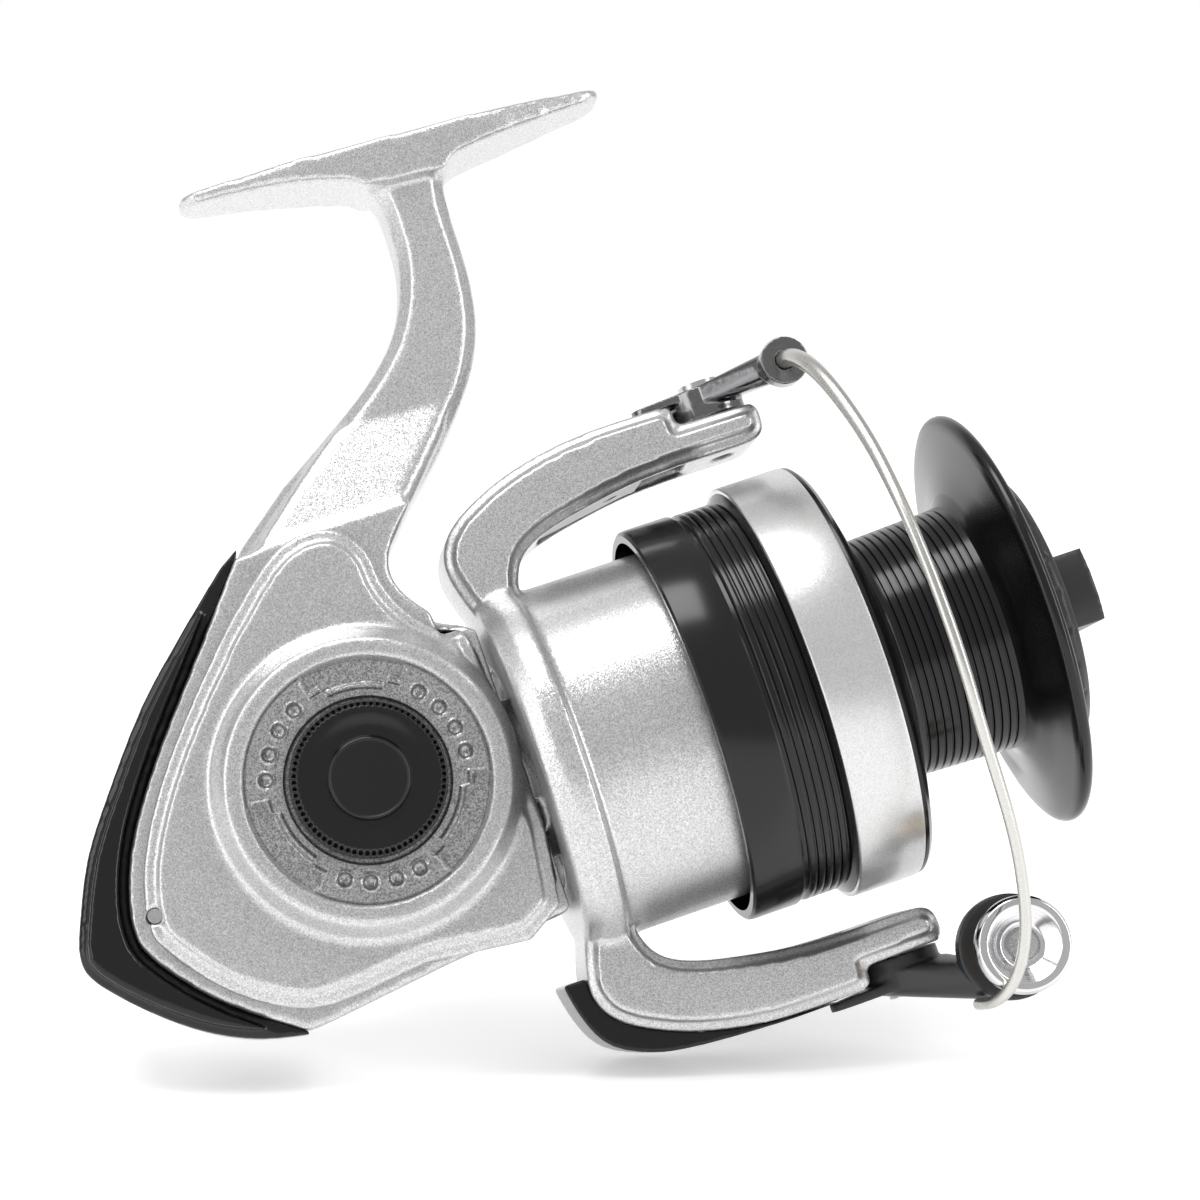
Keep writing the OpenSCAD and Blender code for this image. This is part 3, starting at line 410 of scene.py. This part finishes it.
def cap_height(r, angle):
    """Flat disc in the middle, a shallow dish round it and a knurled rim."""
    height = np.full_like(r, RING_FACE + CAP_RISE)
    height -= 0.55 * smoothstep(CAP_DISC_R, 5.5, r) * (1 - 0.9 * smoothstep(6.2, 8.9, r))
    height += 0.12 * np.exp(-((r - 5.0) / 0.16) ** 2)
    height -= 0.5 * smoothstep(9.0, 9.45, r) ** 2
    knurl = 0.5 + 0.5 * np.cos(angle * KNURLS)
    height -= 0.55 * knurl ** 2 * smoothstep(9.0, 9.5, r)
    return height - 0.9 * smoothstep(9.75, CAP_R, r)


cap_radii = [0.02, 1, 2, 3, 4] + list(np.linspace(4.7, 6.4, 14))
cap_radii += [7, 7.6, 8.2, 8.6] + list(np.linspace(8.9, CAP_R, 12))
cap = mesh_piece("screw_cap_knurled",
                 *polar_field(cap_radii, cap_height, RING_FACE + 0.4, at(0, 0, DRIVE_Z), KNURLS * 12),
                 GLOSS_BLACK, "screw_cap", "handle_screw")
cap.data.materials.append(CAP_DISC)
for face in cap.data.polygons:
    middle = face.center - at(0, 0, DRIVE_Z)
    if math.hypot(middle.x, middle.z) < CAP_DISC_R * MM and middle.y < -(RING_FACE + 3) * MM:
        face.material_index = 1

# ------------------------------------------------------------------ bail wire

LOOP_R, LOOP_STATION = 42.5, 72.5
EYE_X, EYE_Y, EYE_Z = 69.8, -15.0, 40.7
wire_route = [(EYE_X, EYE_Y + 1.6, EYE_Z), (EYE_X, EYE_Y - 2, EYE_Z), (70.4, -21.8, 39.4), (71.4, -27.6, 35)]
for degrees in range(142, 203, 12):
    a = math.radians(degrees)
    wire_route.append((LOOP_STATION, LOOP_R * math.cos(a), LOOP_R * math.sin(a)))
wire_route += [(73.2, -35, -25.6), (73.3, -30, -33), (72.6, -26, -39.2), (71, -23.4, -43.6),
               (69, -20.8, -46.4), (67.3, -17.4, -47.4), (66.8, -13.6, -47.4), (66.8, -9.8, -47.4)]
route = smooth_path([at(*p) for p in wire_route], 10)
SMOOTHING_PASSES = 30
for _ in range(SMOOTHING_PASSES):
    route[1:-1] = [route[i] * 0.5 + (route[i - 1] + route[i + 1]) * 0.25 for i in range(1, len(route) - 1)]
TAPER_END = len(route) * 0.4  # the wire thins from the eye to here
girth = [(1.0 + 0.22 * math.cos(math.pi * min(i / TAPER_END, 1))) * MM for i in range(len(route))]
mesh_piece("bail_wire_drawn", *tube(route, girth), WIRE, "bail", "bail_wire")

# ------------------------------------------------------------------ roller cup

ROLLER = (73.1, 0, -41.7)
CUP_EDGE = 0.3
cup = rounded([(1.5, -16.8), (5.3, -16.8), (6.4, -17.5), (6.4, -18.9), (6.0, -19.8), (5.0, -19.8),
               (2.9, -17.9), (1.5, -17.75)], CUP_EDGE)
mesh_piece("roller_cup_polished", *lathe(cup, "y", at(*ROLLER), 192), POLISHED, "bail", "roller_cap")

# ------------------------------------------------------------------ camera, floor and light

camera_data = bpy.data.cameras.new("camera")
camera_data.lens = 105
camera_data.sensor_width = 36
camera_data.clip_start = 0.01
camera = bpy.data.objects.new("camera", camera_data)
bpy.context.scene.collection.objects.link(camera)
CAMERA_PLACE = at(-27.1, -463.94, -23.09)
right = Vector((0.93996, -0.10243, -0.32556))
upward = Vector((0.31174, -0.13064, 0.94115))
backward = right.cross(upward)
turn = Matrix((right, upward, backward)).transposed().to_4x4()
camera.matrix_world = Matrix.Translation(CAMERA_PLACE) @ turn
bpy.context.scene.camera = camera

ELEVATION = math.radians(7)  # the floor is seen at this angle
FLOOR_R, FLOOR_GLOW = 1.6, 0.42
FLOOR_GAP = 0.2 * MM
floor_up = (upward * math.cos(ELEVATION) + backward * math.sin(ELEVATION)).normalized()
lowest = min(floor_up.dot(v.co) for n in ("main_frame", "rear_cover", "rotor", "arm_cover_outer", "bail_arm")
             for v in frame["nodes"][n].data.vertices)


def stage_disc(name, radius, material):
    count = 96
    mesh = bpy.data.meshes.new(name)
    mesh.from_pydata([(radius * math.cos(math.tau * k / count), radius * math.sin(math.tau * k / count), 0)
                      for k in range(count)], [], [tuple(range(count))])
    mesh.materials.append(material)
    disc = bpy.data.objects.new(name, mesh)
    bpy.context.scene.collection.objects.link(disc)
    return disc


floor_mat, _, floor_shader = principled("pale_floor", (0.85, 0.85, 0.85), 0.0, 0.3,
                                        Emission_Strength=FLOOR_GLOW)
floor_shader.inputs["Emission Color"].default_value = (1, 1, 1, 1)
floor = stage_disc("floor", FLOOR_R, floor_mat)
floor.rotation_mode = "QUATERNION"
floor.rotation_quaternion = floor_up.to_track_quat("Z", "Y")
floor.location = floor_up * (lowest - FLOOR_GAP)


MIDDLE = at(30, 0, 10)
# Name, place from the middle as (right, up, near) in metres as the camera sees it, size, power.
LAMPS = [
    ("key", (-0.25, 0.8, 0.3), (0.6, 0.4), 5),
    ("side", (0.8, 0.3, 0.35), (0.2, 0.9), 3),
    ("front", (-0.75, 0.25, 0.5), (0.3, 0.8), 2),
]


def soft_light(name, place, size, power):
    """A rectangular lamp that faces the middle of the reel."""
    data = bpy.data.lights.new(name, "AREA")
    data.shape = "RECTANGLE"
    data.size, data.size_y = size
    data.energy = power
    lamp = bpy.data.objects.new(name, data)
    bpy.context.scene.collection.objects.link(lamp)
    lamp.location = place
    lamp.rotation_mode = "QUATERNION"
    lamp.rotation_quaternion = (place - MIDDLE).to_track_quat("Z", "Y")


for name, (across, up, near), size, power in LAMPS:
    soft_light(name, MIDDLE + right * across + upward * up + backward * near, size, power)

world = bpy.data.worlds.new("studio")
bpy.context.scene.world = world
world.use_nodes = True
sky = world.node_tree
coords = sky.nodes.new("ShaderNodeTexCoord")
split = sky.nodes.new("ShaderNodeSeparateXYZ")
sky.links.new(coords.outputs["Generated"], split.inputs[0])
ROOM = [(0.0, 0.6), (0.4, 0.5), (0.6, 1.0)]  # along Y: grey on the camera's side, white beyond the reel
sky_ramp = ramp(sky, split, "Y", ROOM)
sky.links.new(sky_ramp.outputs["Color"], sky.nodes["Background"].inputs["Color"])
sky.nodes["Background"].inputs["Strength"].default_value = 1.0
bpy.context.scene.view_settings.view_transform = "Standard"
